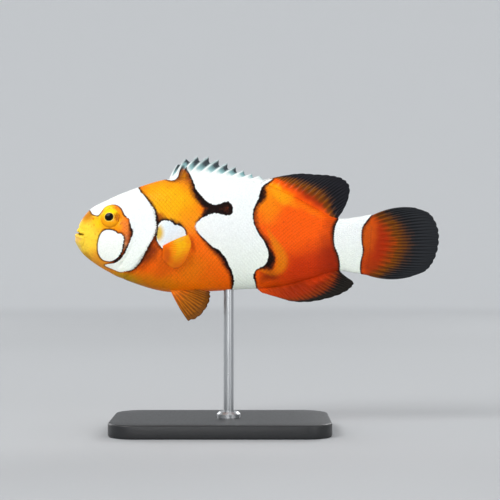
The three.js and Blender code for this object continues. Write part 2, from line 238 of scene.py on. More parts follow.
# The white marks' outlines: along, up. The middle bar runs up into the fin and round a dark club.
whiteMarks = {
    "headBand": [
        (2.4, 8.2), (3.3, 6.4), (3.7, 5.8), (4.9, 5.5), (5.5, 6.1), (6.4, 7.3), (7.6, 7.8), (9.0, 7.8),
        (10.1, 7.0), (10.8, 5.6), (11.8, 4.7), (12.2, 3.2), (12.7, 1.7), (12.2, 0.2), (11.35, -2.0),
        (10.4, -3.75), (8.9, -5.0), (6.4, -5.6), (7.9, -6.4), (10.0, -7.0), (12.0, -6.6), (12.8, -6.3),
        (14.1, -5.0), (15.0, -3.4), (16.5, -0.6), (17.4, 1.0), (17.8, 2.6), (17.75, 4.6), (17.4, 6.5),
        (15.7, 9.0), (14.2, 10.8), (13.0, 12.8), (8.0, 12.5)],
    "cheekSpot": [
        (7.4, 2.25), (6.4, 2.1), (5.65, 1.5), (5.1, 0.2), (4.85, -1.5), (5.1, -3.2), (5.95, -4.35),
        (7.0, -4.7), (7.95, -4.65), (9.3, -3.8), (10.15, -2.65), (10.3, -1.8), (10.5, -0.95), (10.65, 0.15),
        (10.55, 0.75), (9.9, 1.4), (9.25, 1.42), (8.75, 1.85)],
    "shoulderPatch": [
        (18.35, 3.6), (19.1, 4.15), (19.85, 4.35), (20.6, 4.15), (21.0, 4.1), (21.4, 3.8), (21.8, 3.32),
        (22.25, 3.25), (22.7, 3.25), (23.2, 2.98), (23.7, 2.6), (24.1, 2.05), (24.3, 1.4), (24.0, 0.4),
        (23.0, -0.6), (21.6, -1.35), (20.4, -1.8), (19.6, -1.98), (18.95, -1.72), (18.4, -0.85),
        (17.85, 0.25), (17.95, 1.3), (18.15, 2.4)],
    "middleBar": [
        (24.5, 15.9), (25.1, 14.7), (26.0, 12.8), (26.7, 10.9), (28.1, 9.35), (29.6, 8.1), (30.8, 7.75),
        (32.2, 8.15), (33.5, 8.5), (34.4, 7.9), (34.7, 6.9), (34.4, 5.8), (33.6, 5.4), (32.3, 5.6),
        (30.8, 5.9), (29.2, 5.5), (27.9, 4.8), (26.8, 4.0), (26.4, 3.1), (26.9, 1.8), (28.4, 0.2),
        (29.8, -1.2), (31.5, -2.2), (32.8, -3.6), (33.8, -5.5), (34.6, -7.3), (34.9, -9.1), (34.6, -12.5),
        (39.5, -12.5), (39.5, -9.4), (39.1, -8.1), (39.7, -6.6), (41.4, -5.7), (42.3, -4.4), (42.4, -2.6),
        (41.6, -0.6), (40.4, 1.3), (39.4, 3.2), (39.0, 5.6), (39.4, 7.4), (40.2, 8.9), (40.7, 10.8),
        (41.3, 12.0), (43.3, 13.4), (44.0, 15.5), (37.0, 19.5), (27.0, 20.5)],
    "finFront": [
        (19.6, 13.7), (21.4, 13.2), (22.4, 13.8), (22.9, 15.2), (23.6, 17.2), (23.2, 19.5), (20.0, 18.0)],
    "stalkBand": [
        (58.6, 7.5), (57.9, 4.6), (57.2, 2.9), (56.9, 0.4), (57.1, -1.4), (57.9, -3.4), (58.2, -5.4),
        (58.3, -9.5), (62.7, -9.5), (62.6, -6.3), (62.8, -4.4), (63.2, -2.5), (63.0, -0.7), (62.9, 1.3),
        (63.2, 2.9), (64.2, 4.4), (65.6, 6.6)],
}
# A black margin runs round the white. It swells or fades near some places: along, up, reach, change.
blackMargin = {
    "width": 0.22,
    "changes": [
        (25.0, 14.0, 1.8, 0.15), (26.4, 10.8, 2.1, 0.45), (28.6, 8.0, 1.9, 1.1), (30.5, 6.8, 2.2, 1.45),
        (33.5, 6.9, 2.0, 1.3), (28.4, 5.0, 1.6, -0.08), (27.0, 9.3, 1.3, 0.5), (33.2, -4.8, 2.2, 0.75),
        (31.1, -2.3, 1.6, 0.55), (34.6, -8.6, 1.8, 0.35), (41.6, 9.7, 1.7, 1.2), (39.4, 7.0, 2.6, 0.2),
        (39.9, 2.4, 2.0, 0.15), (43.2, -4.2, 1.8, 1.6), (42.0, -0.9, 1.3, 0.4), (43.2, -6.35, 1.2, 1.0),
        (38.9, -8.2, 1.0, 0.4), (57.4, 2.8, 2.6, 0.3), (57.8, -3.6, 2.6, 0.12), (9.4, -4.6, 1.3, 0.45),
        (11.0, -2.2, 1.2, 0.15), (12.5, 2.0, 0.9, 0.45), (11.8, 4.4, 0.8, -0.16), (18.6, 4.6, 1.3, 0.3),
        (22.4, 3.6, 1.6, 0.3), (64.4, 4.0, 1.6, 0.1), (13.2, -6.0, 1.2, 0.1), (16.6, 8.0, 2.0, 0.08),
        (4.2, 6.6, 3.0, -0.12), (7.2, 7.8, 2.0, -0.3), (4.9, -1.2, 2.6, -0.12), (9.2, -6.9, 2.6, -0.3),
        (6.2, -5.5, 1.4, -0.1), (22.4, -1.6, 2.8, -0.4), (26.4, 3.0, 1.2, -0.35), (20.5, 14.5, 2.4, -0.2),
        (24.0, 16.4, 1.0, 0.55)],
    "softness": (0.16, 0.5),  # of a thin margin, and added for each millimetre of extra width
    "softTip": (26.4, 3.0, 0.9, 4.0),  # the middle bar's front tip fades out: along, up, reach, share
    # outside the black the skin is scorched brown, in some places wider: along, up, reach, width
    "scorch": 0.4,
    "scorched": [
        (24.8, 12.4, 2.8, 1.9), (19.0, 4.7, 1.1, 0.6), (27.2, 8.8, 2.2, 0.9), (39.2, 5.0, 3.4, 1.2),
        (41.4, 9.6, 2.0, 0.5), (32.2, -3.4, 3.0, 1.1), (34.6, -8.0, 2.4, 0.5), (17.0, -0.5, 3.0, 0.6),
        (16.0, 9.0, 3.0, 0.2), (57.2, 2.0, 3.0, 0.5), (57.6, -4.0, 3.0, 0.4), (12.4, 1.5, 1.8, 0.5),
        (63.4, 3.0, 2.6, 0.5), (42.2, -0.6, 2.0, 1.6), (43.0, -7.2, 1.6, 0.9), (30.0, -0.6, 2.2, 0.5),
        (22.2, 3.8, 1.5, 0.5)],
}
# A yellow streak curls behind the bar: along, up, half width, strength.
streakLine = np.array([
    (42.4, 2.2, 0.4, 0.5), (43.1, 0.8, 0.55, 0.7), (44.0, -0.9, 0.85, 1), (44.9, -2.6, 1.15, 1),
    (45.4, -4.4, 1.3, 1), (44.9, -6.2, 1.2, 0.9), (43.3, -7.1, 0.8, 0.45), (41.7, -6.8, 0.5, 0.6),
    (40.6, -6.5, 0.35, 0.6)])
whiteLines = {name: outline(points) for name, points in whiteMarks.items()}
streakCurve = curveAt(streakLine, np.linspace(0, 1, 60))


def markFields(p):
    # distance into the white in millimetres and into the black in its softness, the brown and the streak
    x, z = onPlane(p)
    white = np.max([distanceTo(x, z, line) for line in whiteLines.values()], axis=0)
    change = swellings(x, z, blackMargin["changes"])
    thin, more = blackMargin["softness"]
    dark = (white + blackMargin["width"] + change) / (thin + more * np.maximum(change, 0))
    burnt = blackMargin["scorch"] + swellings(x, z, blackMargin["scorched"])
    scorch = 1 - smooth(-0.3, 1, -(white + blackMargin["width"] + change) / burnt)
    white = white / (1 + swellings(x, z, [blackMargin["softTip"]]))
    streak = np.zeros(len(x))
    for along, up, half, strength in streakCurve:
        streak = np.maximum(streak, strength * (1 - smooth(0.4, 1.5, np.hypot(x - along, z - up) / half)))
    return {"white": white, "dark": dark, "scorch": scorch, "streak": streak}


def meshFrom(bm, name):
    mesh = bpy.data.meshes.new(name)
    bm.to_mesh(mesh)
    bm.free()
    return mesh


def pointsOf(mesh):
    co = np.empty(len(mesh.vertices) * 3)
    mesh.vertices.foreach_get("co", co)
    return co.reshape(-1, 3)


def gridMesh(name, across, down):
    # a flat grid that spans 0 to 1 both ways, to be laid over a surface
    bm = bmesh.new()
    bmesh.ops.create_grid(bm, x_segments=across, y_segments=down, size=0.5)
    bmesh.ops.translate(bm, verts=bm.verts, vec=(0.5, 0.5, 0))
    return meshFrom(bm, name)


def spun(name, profile, steps, centre=0.0, ringed=False):
    # a profile of (radius, height) spun about an upright line; a ringed one closes on itself
    bm = bmesh.new()
    corners = [bm.verts.new((centre + r, 0, h)) for r, h in profile]
    for a, b in zip(corners, corners[1:] + corners[:1] if ringed else corners[1:]):
        bm.edges.new((a, b))
    bmesh.ops.spin(bm, geom=list(bm.verts) + list(bm.edges), cent=(centre, 0, 0), axis=(0, 0, 1),
                   angle=2 * math.pi, steps=steps, use_merge=True, use_duplicate=False)
    bmesh.ops.remove_doubles(bm, verts=bm.verts, dist=1e-6)
    return meshFrom(bm, name)


def lay(mesh, points, fields=None):
    # moves the mesh's points to these places in the side view's millimetres, and stores the fields on them
    world = (points + (snoutX, 0.0, mouthZ)) * mm
    mesh.vertices.foreach_set("co", world.ravel())
    for name, values in (fields or {}).items():
        mesh.attributes.new(name, "FLOAT", "POINT").data.foreach_set("value", np.asarray(values, np.float32))
    mesh.update()


def close(mesh, gap=1e-6):
    # merges the seam and poles, turns every face outwards and shades it smooth
    bm = bmesh.new()
    bm.from_mesh(mesh)
    bmesh.ops.remove_doubles(bm, verts=bm.verts, dist=gap)
    bmesh.ops.dissolve_degenerate(bm, edges=bm.edges, dist=gap / 2)
    bmesh.ops.recalc_face_normals(bm, faces=bm.faces)
    for face in bm.faces:
        face.smooth = True
    bm.to_mesh(mesh)
    bm.free()


def mirrored(mesh, name):
    # the same piece on the right side
    bm = bmesh.new()
    bm.from_mesh(mesh)
    bmesh.ops.scale(bm, vec=(1, -1, 1), verts=bm.verts)
    bmesh.ops.reverse_faces(bm, faces=bm.faces)
    return meshFrom(bm, name)


def placed(name, data):
    made = bpy.data.objects.new(name, data)
    bpy.context.scene.collection.objects.link(made)
    return made


def piece(name, mesh, material, nodes=()):
    made = placed(name, mesh)
    mesh.materials.append(material)
    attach(made, "root")
    if nodes:
        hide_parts(*nodes)
    print("made", name, len(mesh.vertices), "points")


def colour(text):
    # sRGB hex to linear
    s = [int(text[i:i + 2], 16) / 255 for i in (1, 3, 5)]
    return tuple(c / 12.92 if c <= 0.04045 else ((c + 0.055) / 1.055) ** 2.4 for c in s) + (1.0,)


def add(tree, kind, inputs=(), out=0, **settings):
    # adds a node, sets it up, links what feeds it and gives back one of its outputs
    # inputs go by name or in order: a MapRange has its value, from min, from max, to min and to max
    made = tree.nodes.new("ShaderNode" + kind)
    for name, value in settings.items():
        setattr(made, name, value)
    for name, value in inputs.items() if isinstance(inputs, dict) else enumerate(inputs):
        if isinstance(value, bpy.types.NodeSocket):
            tree.links.new(value, made.inputs[name])
        else:
            made.inputs[name].default_value = value
    return made.outputs[out] if len(made.outputs) else None


def newMaterial(name):
    material = bpy.data.materials.new(name)
    material.use_nodes = True
    material.node_tree.nodes.clear()
    return material, material.node_tree


def per(size):
    # a pattern's scale from the size of its grain in millimetres
    return 1 / (size * mm)


def at(along, up):
    return ((along + snoutX) * mm, 0.0, (up + mouthZ) * mm)


# Soft zones of colour over the orange: centre, reach along and across, turn in degrees, strength and colour.
# Some are painted light or shade, as the comments above them say.
coat = {
    "base": "#FF5C00", "freckle": "#C25A04", "streak": "#EA7E04",
    "blotchSize": 3.3, "wander": 3.0,  # the zones' edges wander by up to half of this, in blotches
    "freckleSize": 0.87, "frecklesAt": (7.6, 4.6), "freckleReach": (3.0, 5.8),  # only round the eye
    "freckled": 0.55, "streaked": 0.85,
    "speckSize": 0.31,  # the mucus film's grain, drawn coarser than in life so that it shows
    "zones": [
        ("flank", (25.0, -4.0), (15.0, 15.0), 0, 0.85, "#FF7404"),
        ("belly", (22.0, -11.0), (17.0, 5.0), -2, 0.75, "#FF7A04"),
        ("bellyFront", (17.0, -9.6), (9.0, 3.6), -8, 0.8, "#D87C04"),
        ("lowRear", (51.0, -6.5), (13.0, 7.5), 12, 0.95, "#CC3200"),
        ("nearStalk", (57.4, -3.4), (6.5, 8.5), 0, 0.9, "#9C2200"),
        # painted light: a broad glow on the upper flank behind the bar, and in the next two a painted
        # highlight along the lit ridge below the soft dorsal fin's base
        ("rearFront", (42.0, 8.0), (5.0, 6.5), 0, 0.75, "#FF8C00"),
        ("ridgePaintedHighlightFront", (45.0, 10.0), (6.0, 2.2), -34, 1.0, "#FF9C04"),
        ("ridgePaintedHighlightRear", (50.8, 6.9), (6.4, 1.1), -26, 0.7, "#FF7400"),
        ("dorsalRoot", (53.0, 9.7), (10.0, 3.8), -30, 0.95, "#A42400"),
        ("analRoot", (49.0, -11.8), (12.0, 3.8), 5, 0.95, "#9C2800"),
        ("shoulder", (20.6, 8.2), (11.0, 9.2), -15, 1.0, "#FFAE00"),
        ("flame", (23.8, 14.6), (2.4, 2.6), 0, 0.95, "#C4760A"),
        ("shoulderEdge", (25.8, 4.6), (3.6, 4.8), 0, 0.7, "#FF9400"),
        ("sideDull", (20.0, -5.6), (4.0, 4.4), -20, 0.5, "#C44E04"),
        # painted light: brighter orange that offsets the pectoral fin's cast shadow on the flank
        ("sidePaintedLight", (25.6, -6.2), (4.0, 4.6), -30, 0.8, "#FF8204"),
        # painted shadow: a dark red wedge behind the gill cover's free edge
        ("chestPaintedShadow", (16.0, -3.2), (2.6, 5.6), -37, 0.95, "#7C2A00"),
        ("armpit", (18.7, 4.8), (2.2, 1.6), -10, 0.8, "#AC4404"),
        ("throat", (10.6, -8.6), (6.5, 2.6), -20, 0.9, "#C49404"),
        ("snout", (2.0, 0.5), (8.0, 9.0), 0, 1.0, "#FFD53A"),
        ("lip", (0.8, -1.6), (3.0, 3.4), 0, 0.6, "#E6BE40"),
        ("brow", (2.2, 5.9), (3.8, 3.2), 0, 1.0, "#CC8010"),
        ("chin", (5.4, -5.6), (5.0, 3.4), -40, 0.8, "#D8962A"),
        ("eyeSide", (8.4, 4.4), (5.4, 4.8), 0, 1.0, "#FDAC04"),
        ("eyeTop", (7.4, 7.3), (2.6, 1.7), 0, 0.9, "#FFE024"),
        ("eyeFront", (5.3, 4.2), (2.0, 2.6), 0, 0.8, "#FFCA04"),
        ("cheekRear", (11.4, 1.8), (2.0, 4.6), 0, 0.95, "#EE8030"),
        ("cheekRed", (12.1, 0.9), (0.7, 1.4), -25, 0.5, "#A03008"),
        ("cheekBeige", (11.1, -0.9), (1.35, 2.2), -20, 0.97, "#BE9870"),
        ("eyeSpot", (10.3, 5.4), (0.7, 1.1), 20, 0.6, "#C85A04"),
        # painted shade: dark brown in the cleft between the lips
        ("mouthPaintedShade", (1.2, 1.22), (1.4, 0.26), -19, 0.9, "#5C3C06"),
        ("lowerLip", (0.8, 0.4), (1.0, 0.9), 0, 0.7, "#F0BC70"),
        ("jawRim", (0.9, -1.6), (0.9, 2.6), 22, 0.6, "#DEC684"),
        ("jawUnder", (2.6, -3.6), (2.6, 1.0), -45, 0.7, "#B88418"),
        ("tailBase", (66.5, -0.8), (8.0, 12.0), 0, 1.0, "#A22800"),
        ("tailRim", (63.2, 1.4), (4.4, 7.6), -10, 0.72, "#D85C04"),
        ("stalkEdge", (56.6, 3.4), (2.6, 2.6), 0, 0.5, "#B03804"),
        ("barHeel", (42.8, -7.9), (3.2, 2.2), 0, 0.9, "#8C2C02"),
        # painted shade: darker orange on the pectoral fin's root and the flank round it
        ("finRootPaintedShade", (20.6, -3.2), (2.0, 2.9), 10, 0.75, "#B85004"),
        ("finShade", (25.9, -0.9), (0.8, 2.8), 13, 0.6, "#B83A04"),
        ("tailLow", (65.4, -6.8), (3.6, 3.4), 0, 0.8, "#8E2A00"),
        ("analRear", (54.4, -10.0), (3.6, 2.2), 8, 0.8, "#7E1E00"),
    ],
}


def bodyColour(tree):
    place = add(tree, "TexCoord", out="Object")
    flat = add(tree, "VectorMath", (place, (1, 0, 1)), operation="MULTIPLY")
    result = colour(coat["base"])
    drift = add(tree, "TexNoise", {"Vector": flat, "Scale": per(coat["blotchSize"]), "Detail": 3.0}, "Color")
    wander = add(tree, "VectorMath", (drift, (0.5, 0.5, 0.5)), operation="SUBTRACT")
    step = coat["wander"] * mm
    moved = add(tree, "VectorMath", (wander, (step, 0, step), flat), operation="MULTIPLY_ADD")
    for name, centre, reach, turn, strength, tint in coat["zones"]:
        size = (reach[0] * mm, 1.0, reach[1] * mm)
        local = add(tree, "Mapping", {"Vector": moved, "Location": at(*centre), "Scale": size,
                                      "Rotation": (0, math.radians(-turn), 0)}, vector_type="TEXTURE")
        far = add(tree, "VectorMath", (local,), "Value", operation="LENGTH")
        share = add(tree, "MapRange", (far, 1.0, 0.2, 0.0, strength), interpolation_type="SMOOTHSTEP",
                    label=name)
        result = add(tree, "Mix", {0: share, 6: result, 7: colour(tint)}, 2, data_type="RGBA")
    cells = add(tree, "TexVoronoi", {"Vector": flat, "Scale": per(coat["freckleSize"])})
    dots = add(tree, "MapRange", (cells, 0.3, 0.16, 0.0, coat["freckled"]))
    inner, outer = coat["freckleReach"]
    nearEye = add(tree, "VectorMath", (flat, at(*coat["frecklesAt"])), "Value", operation="DISTANCE")
    nearEye = add(tree, "MapRange", (nearEye, outer * mm, inner * mm))
    dots = add(tree, "Math", (dots, nearEye), operation="MULTIPLY")
    streak = add(tree, "Attribute", out="Fac", attribute_name="streak")
    streak = add(tree, "Math", (streak, coat["streaked"]), operation="MULTIPLY")
    for share, tint in ((dots, "freckle"), (streak, "streak")):
        result = add(tree, "Mix", {0: share, 6: result, 7: colour(coat[tint])}, 2, data_type="RGBA")
    return place, flat, result


marginLook = {
    "black": "#140300", "brown": "#4C1E04", "white": "#F3F5F2", "lowWhite": "#F3F9EA",
    "patch": (21.4, 1.2), "patchShade": "#E2EAF0",  # the patch behind the gill cover is cooler
    "cream": "#E0B430", "creamAt": (18.4, 1.5), "creamReach": (1.9, 2.5),  # and cream at its root
    "raggedSize": 0.77, "ragged": {"scorch": 0.9, "dark": 2.4, "white": 0.16},  # how far each edge wanders
}


def markedColour(tree, base, flat):
    # lays the black margins and the white over a colour, both with edges that wander by part of a scale
    fine = add(tree, "TexNoise", {"Vector": flat, "Scale": per(marginLook["raggedSize"]), "Detail": 3.0,
                                  "Roughness": 0.65})
    shift = add(tree, "Math", (fine, -0.5), operation="ADD")
    fields = {}
    for name, ragged in marginLook["ragged"].items():
        field = add(tree, "Attribute", out="Fac", attribute_name=name)
        fields[name] = add(tree, "Math", (shift, ragged, field), operation="MULTIPLY_ADD")
    scorch = add(tree, "MapRange", (fields["scorch"], 0.02, 0.95, 0.0, 0.93))
    black = add(tree, "MapRange", (fields["dark"], -0.5, 1.1), interpolation_type="SMOOTHSTEP")
    pale = add(tree, "MapRange", (fields["white"], -0.07, 0.07), interpolation_type="SMOOTHSTEP")
    result = base
    for share, tint in ((scorch, "brown"), (black, "black")):
        result = add(tree, "Mix", {0: share, 6: result, 7: colour(marginLook[tint])}, 2, data_type="RGBA")
    height = add(tree, "SeparateXYZ", (flat,), "Z")
    low = add(tree, "MapRange", (height, (mouthZ + 2) * mm, (mouthZ - 9) * mm))
    along, up = marginLook["creamReach"]
    local = add(tree, "Mapping", {"Vector": flat, "Location": at(*marginLook["creamAt"]),
                                  "Scale": (along * mm, 1.0, up * mm)}, vector_type="TEXTURE")
    away = add(tree, "VectorMath", (local,), "Value", operation="LENGTH")
    warm = add(tree, "MapRange", (away, 1.0, 0.35, 0.0, 0.95), interpolation_type="SMOOTHSTEP")
    fromPatch = add(tree, "VectorMath", (flat, at(*marginLook["patch"])), "Value", operation="DISTANCE")
    # a soft disc of shade on the patch, and a hard one that keeps the cream off the head band
    inPatch, onPatch = (add(tree, "MapRange", (fromPatch, outer * mm, inner * mm, 0.0, most))
                        for outer, inner, most in ((3.4, 2.4, 0.8), (3.3, 3.1, 1.0)))
    warm = add(tree, "Math", (warm, onPatch), operation="MULTIPLY")
    chalk = colour(marginLook["white"])
    for share, tint in ((low, "lowWhite"), (inPatch, "patchShade"), (warm, "cream")):
        chalk = add(tree, "Mix", {0: share, 6: chalk, 7: colour(marginLook[tint])}, 2, data_type="RGBA")
    return add(tree, "Mix", {0: pale, 6: result, 7: chalk}, 2, data_type="RGBA"), pale


def wetSkin(name, scaly):
    # fish skin under a thin film of mucus: deep even colour, soft wide highlights
    material, tree = newMaterial(name)
    place, flat, base = bodyColour(tree)
    result, pale = markedColour(tree, base, flat)
    speck = add(tree, "TexNoise", {"Vector": place, "Scale": per(coat["speckSize"]), "Detail": 2.0})
    mottle = add(tree, "MapRange", (speck, 0.3, 0.7, 0.93, 1.05))
    if scaly:
        # each scale is a little darker along its free edge
        edge = add(tree, "Attribute", out="Fac", attribute_name="edge")
        rimmed = add(tree, "MapRange", (edge, 0.62, 1.0, 1.03, 0.8))
        onWhite = add(tree, "Mix", {0: pale, 2: rimmed, 3: 0.995}, data_type="FLOAT")
        mottle = add(tree, "Math", (mottle, onWhite), operation="MULTIPLY")
    result = add(tree, "VectorMath", {0: result, "Scale": mottle}, operation="SCALE")
    bump = add(tree, "Bump", {"Height": speck, "Strength": 0.25, "Distance": 0.04 * mm})
    shader = add(tree, "BsdfPrincipled", {
        "Base Color": result, "Roughness": 0.46, "IOR": 1.35, "Specular IOR Level": 0.13, "Normal": bump,
        "Subsurface Weight": 0.08, "Subsurface Radius": (1.0, 0.4, 0.2), "Subsurface Scale": 0.5 * mm,
        "Coat Weight": 0.07, "Coat Roughness": 0.18})
    add(tree, "OutputMaterial", {"Surface": shader})
    return material


def makeSkin():
    # one skin over head, jaw, gill covers, trunk and tail stalk
    mesh = gridMesh("skin", body["rings"], body["around"])
    grid = pointsOf(mesh)
    t = np.interp(grid[:, 0], (0, body["headRings"], 1), (0, body["headEnd"], 1))
    angle = 2 * np.pi * grid[:, 1]
    lay(mesh, skinPoint(t, angle), markFields(form(t, angle)))
    close(mesh)
    piece("skin", mesh, wetSkin("wetFishSkin", False),
          ["head", "lower_jaw", "gill_cover_left", "gill_cover_right", "trunk", "tail_stalk"])


print("form and marks are worked out")
makeSkin()

scales = {
    "spacing": 0.42,  # between staggered columns, so that a row has a scale every 0.84 mm
    "perColumn": 31, "crowding": 0.12,  # the rows are a little closer on the back and belly
    "from": 10.4, "to": 64.0,
    "frontBends": [(0.9, -2, -8), (-3.4, 5, 9), (-1.2, 2, -3)],  # bent by, between two heights
    "eyeRoom": 3.2,
    "scatter": (0.02, 0.0006),  # along in millimetres, and round in shares of the side
    "length": 1.3, "height": 1.14,  # length in millimetres, height in shares of the column's pitch
    "lift": 0.085, "root": -0.05, "fold": 0.86,  # the last row of points folds down behind the free edge
    "patch": 0.003,  # of a scale on the UV map
    "lateralLine": [(18.4, 8.4), (24.0, 9.6), (31.0, 9.9), (38.0, 8.9), (45.0, 6.9), (52.0, 4.0),
                    (57.0, 1.0)],
}


def aroundFlank(v):
    return np.pi * v + scales["crowding"] * np.sin(2 * np.pi * v)


def scalePlaces(arc, flank):
    # where each scale is rooted: along the flank in millimetres, round it from 0 to 1, and its size
    start, end = np.interp((scales["from"] - 4, scales["to"]), flank[:, 0], arc)
    columns = np.arange(start, end, scales["spacing"])
    i, j = np.meshgrid(np.arange(len(columns)), np.arange(scales["perColumn"]), indexing="ij")
    s = columns[i].ravel()
    v = ((j + 0.25 + 0.5 * (i % 2)) / scales["perColumn"]).ravel()
    s = s + rng.normal(0, scales["scatter"][0], len(s))
    v = v + rng.normal(0, scales["scatter"][1], len(v))
    keep = (v > 0.004) & (v < 0.996)
    s, v = s[keep], v[keep]
    roots = form(np.interp(s, arc, np.linspace(0, 1, len(arc))), aroundFlank(v))
    x, z = roots[:, 0], roots[:, 2]
    front = scales["from"] + sum(by * smooth(low, high, z) for by, low, high in scales["frontBends"])
    keep = (x > front) & (x < scales["to"])
    keep &= np.hypot(x - head["eye"][0], z - head["eye"][1]) > scales["eyeRoom"]
    line = outline(scales["lateralLine"], closed=False)
    pored = bell(distanceTo(x, z, line, closed=False), 0.33)  # a raised pore along the lateral line
    size = smooth(0.0, 2.2, x - front) * 0.45 + 0.55
    return s[keep], v[keep], size[keep, None], pored[keep, None]


def makeScales(name):
    ts = np.linspace(0, 1, 2000)
    flank = form(ts, np.full(2000, np.pi / 2))
    arc = np.concatenate([[0], np.cumsum(np.linalg.norm(np.diff(flank, axis=0), axis=1))])
    s, v, size, pored = scalePlaces(arc, flank)
    plate = gridMesh("plate", 4, 4)
    grid = pointsOf(plate)
    a, b = grid[:, 0], grid[:, 1] * 2 - 1  # a runs from the buried root to the free edge, b across it
    bm = bmesh.new()
    for _ in s:
        bm.from_mesh(plate)
    bpy.data.meshes.remove(plate)
    mesh = meshFrom(bm, name)
    out = np.minimum(a / scales["fold"], 1.0)
    reach = out * (1 - 0.4 * np.abs(b) ** 2.2)  # the free edge is rounded
    lift = scales["root"] + (scales["lift"] - scales["root"]) * out ** 0.9 - 0.03 * b ** 2 - 0.09 * (a > 0.9)
    lift = lift * (0.4 + 0.6 * size) + 0.06 * pored * bell(b, 0.3) * (a < 0.9)
    width = 1 - 0.25 * (1 - np.minimum(a / 0.5, 1))
    halfPitch = 0.5 * scales["height"] / scales["perColumn"]
    t = np.interp(s[:, None] + reach * scales["length"] * size, arc, ts)
    angle = aroundFlank(np.clip(v[:, None] + b * width * halfPitch * size, 0.0005, 0.9995))
    points = skinPoint(t, angle, lift + 0.015).reshape(-1, 3)
    centre = form(np.interp(s + 0.7 * scales["length"], arc, ts), aroundFlank(v))
    # a scale is coloured mostly by its own place and a little by its centre's
    where = 0.75 * form(t, angle).reshape(-1, 3) + 0.25 * np.repeat(centre, len(a), axis=0)
    lay(mesh, points, markFields(where) | {"edge": np.tile(out, len(s))})
    rootUv = np.stack([s / arc[-1], v], 1)
    pointUv = (rootUv[:, None] + np.stack([a - 0.5, b / 2], 1) * scales["patch"]).reshape(-1, 2)
    corner = np.empty(len(mesh.loops), np.int32)
    mesh.loops.foreach_get("vertex_index", corner)
    mesh.uv_layers.new(name="OFBake").data.foreach_set("uv", pointUv[corner].ravel())
    mesh.polygons.foreach_set("use_smooth", np.ones(len(mesh.polygons), bool))
    mesh.flip_normals()  # the grid was laid with its face inwards
    return mesh


leftScales = makeScales("scales_left")
rightScales = mirrored(leftScales, "scales_right")
scaleMaterial = wetSkin("wetFishScale", True)
piece("scales_left", leftScales, scaleMaterial)
piece("scales_right", rightScales, scaleMaterial)

eye = {
    "bulge": 0.72, "sunk": -0.35, "radius": 2.2, "back": 0.5, "steps": 30, "around": 96,
    "grainSize": 0.38,  # of the iris, drawn coarser than in life so that it shows
    "pupilTall": 0.91,  # its height for a width of 1
    "iris": "#F29E0C", "irisTop": "#FFD80C", "irisSpot": "#A84404",
    # bright ring, pupil and rim, by distance from the pupil's middle: none at, full at, strength, colour
    "rings": [(1.25, 1.09, 1.0, "#F8CC48"), (1.05, 0.95, 1.0, "#020203"), (1.85, 2.2, 0.3, "#D0860C")],
}


def eyeMaterial():
    # a wet cornea over a golden iris: the gloss comes from a clear coat over the painted iris
    material, tree = newMaterial("wetFishEye")
    off, side, high = (add(tree, "Attribute", out="Fac", attribute_name=name)
                       for name in ("fromPupil", "irisSide", "irisHigh"))
    place = add(tree, "TexCoord", out="Object")
    grain = add(tree, "TexNoise", {"Vector": place, "Scale": per(eye["grainSize"]), "Detail": 3.0})
    shift = add(tree, "Math", (grain, -0.5), operation="ADD")
    high = add(tree, "Math", (shift, 1.2, high), operation="MULTIPLY_ADD")
    high = add(tree, "MapRange", (high, -0.2, 0.9))
    spot = add(tree, "Math", (shift, side), operation="ADD")
    spot = add(tree, "MapRange", (spot, 0.62, 1.02, 0.0, 0.78), interpolation_type="SMOOTHSTEP")
    layers = [(high, eye["irisTop"]), (spot, eye["irisSpot"])]
    for none, full, strength, tint in eye["rings"]:
        ring = add(tree, "MapRange", (off, none, full, 0.0, strength))
        layers.append((ring, tint))
    shade = colour(eye["iris"])
    for share, tint in layers:
        shade = add(tree, "Mix", {0: share, 6: shade, 7: colour(tint)}, 2, data_type="RGBA")
    shader = add(tree, "BsdfPrincipled", {
        "Base Color": shade, "Roughness": 0.4, "IOR": 1.376, "Specular IOR Level": 0.05,
        "Coat Weight": 0.3, "Coat Roughness": 0.03, "Coat IOR": 1.33})
    add(tree, "OutputMaterial", {"Surface": shader})
    return material


def makeEye():
    # a dome spun about the line that the eye looks along
    height = eye["bulge"] - eye["sunk"]
    turns = [math.pi / 2 * k / eye["steps"] for k in range(eye["steps"] + 1)]
    profile = [(eye["radius"] * math.sin(a), eye["sunk"] + height * math.cos(a) ** 0.9) for a in turns]
    mesh = spun("eye_left_detail", profile + [(0, eye["sunk"] - eye["back"])], eye["around"])
    local = pointsOf(mesh)
    across = np.array((1, 0, 0)) - eyeFacing * eyeFacing[0]
    across /= np.linalg.norm(across)
    radius = np.maximum(np.hypot(local[:, 0], local[:, 1]), 1e-6)
    oval = np.hypot(local[:, 0], local[:, 1] / eye["pupilTall"])
    side = (local[:, 0] / radius) ** 2 * np.where(local[:, 0] > 0, 1.0, 0.55)  # browner towards the rear
    world = eyeAt + local @ np.stack([across, np.cross(eyeFacing, across), eyeFacing])
    lay(mesh, world, {"fromPupil": oval, "irisSide": side, "irisHigh": local[:, 1] / radius})
    close(mesh)
    return mesh


eyeLook = eyeMaterial()
leftEye = makeEye()
piece("eye_left_detail", leftEye, eyeLook, ["eye_left"])
piece("eye_right_detail", mirrored(leftEye, "eye_right_detail"), eyeLook, ["eye_right"])


def heightOf(x, belly):
    # the height of the back line or the belly line at x
    s = curveAt(sections, np.linspace(0, 1, 800))
    k = 2 if belly else 0
    order = np.argsort(s[:, k])
    return np.interp(x, s[order, k], s[order, k + 1])


def onBody(start, end, sink, belly=False):
    def line(u):
        x = start + (end - start) * u
        return np.stack([x, heightOf(x, belly) + sink], -1)
    return line


def through(*points):
    return lambda u: curveAt(points, u)


